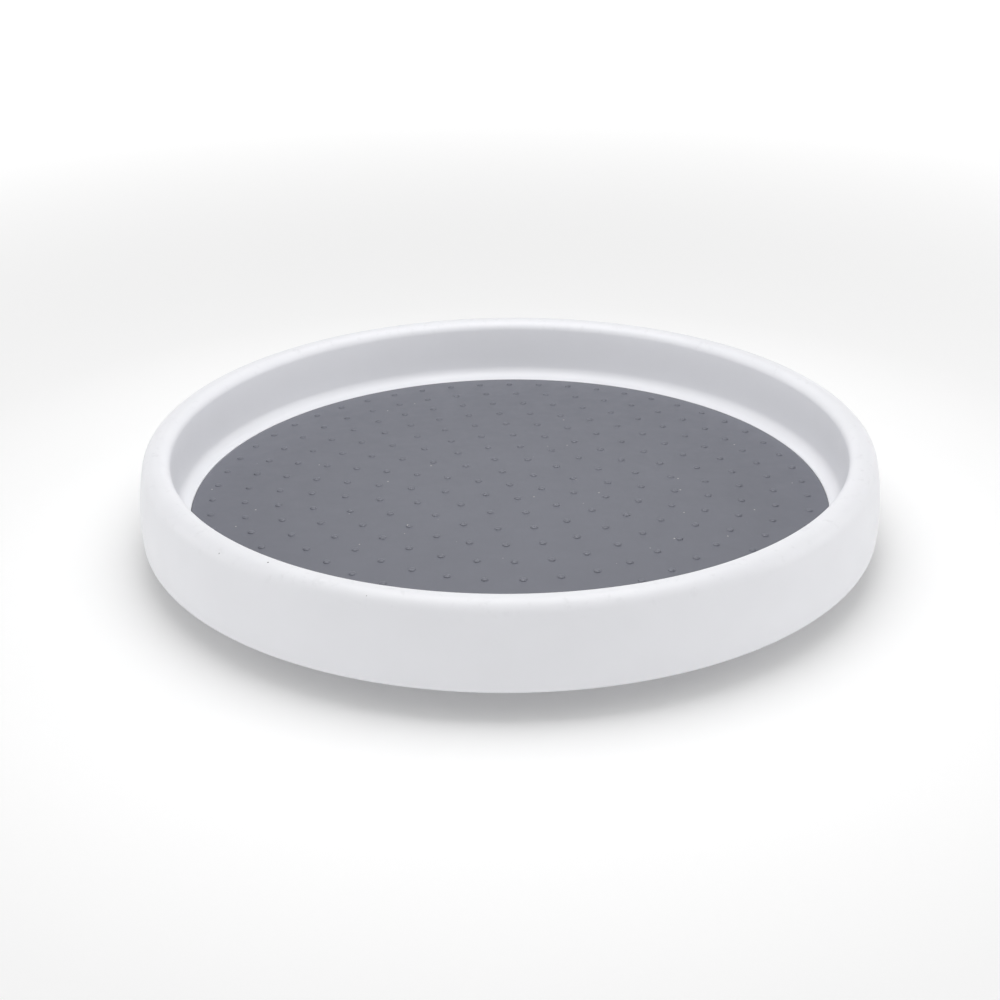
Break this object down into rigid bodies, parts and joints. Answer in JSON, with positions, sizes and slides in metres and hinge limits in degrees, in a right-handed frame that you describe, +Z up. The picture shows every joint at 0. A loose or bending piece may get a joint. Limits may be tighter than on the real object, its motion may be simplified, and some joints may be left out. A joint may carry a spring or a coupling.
{
  "type": "lazy susan turntable",
  "caption": "Round rimmed turntable tray with a soft non-slip grip mat, turning freely on a ball race over a smaller footed base.",
  "frame": {"origin": "on the surface it stands on, on the axis of turning", "axes": "+Z up along the axis of turning; +X and +Y are alike, as the tray is round"},
  "size_m": [0.3047, 0.3048, 0.0444],
  "materials": {
    "tray_plastic": "white injection-moulded polypropylene with a soft satin skin",
    "grip_mat": "cool mid-grey soft-touch elastomer, satin, with low round domes",
    "base_plastic": "white injection-moulded plastic, satin",
    "bush_plastic": "natural acetal, slightly waxy",
    "cage_plastic": "light grey nylon, smooth",
    "ball_steel": "polished bearing steel",
    "fastener_steel": "bright zinc-plated steel",
    "foot_rubber": "grey soft rubber, matt"
  },
  "bodies": {
    "base": {"base_dish": "base_plastic", "hub_bush": "bush_plastic", "foot_1": "foot_rubber", "foot_2": "foot_rubber", "foot_3": "foot_rubber", "foot_4": "foot_rubber", "foot_5": "foot_rubber", "foot_6": "foot_rubber"},
    "turntable": {"tray": "tray_plastic", "mat": "grip_mat", "pivot_washer": "fastener_steel", "pivot_screw": "fastener_steel"},
    "bearing": {"ball_cage": "cage_plastic", "ball_01": "ball_steel", "ball_02": "ball_steel", "ball_03": "ball_steel", "ball_04": "ball_steel", "ball_05": "ball_steel", "ball_06": "ball_steel", "ball_07": "ball_steel", "ball_08": "ball_steel", "ball_09": "ball_steel", "ball_10": "ball_steel", "ball_11": "ball_steel", "ball_12": "ball_steel", "ball_13": "ball_steel", "ball_14": "ball_steel", "ball_15": "ball_steel", "ball_16": "ball_steel"}
  },
  "joints": [
    {"name": "tray_spin", "type": "hinge", "parent": "base", "child": "turntable", "pos_m": [0, 0, 0.0084], "axis": [0, 0, 1], "continuous": true},
    {"name": "cage_orbit", "type": "hinge", "parent": "base", "child": "bearing", "pos_m": [0, 0, 0.0084], "axis": [0, 0, 1], "continuous": true}
  ],
  "couplings": [
    {"joint": "cage_orbit", "follows": "tray_spin", "ratio": 0.5}
  ]
}
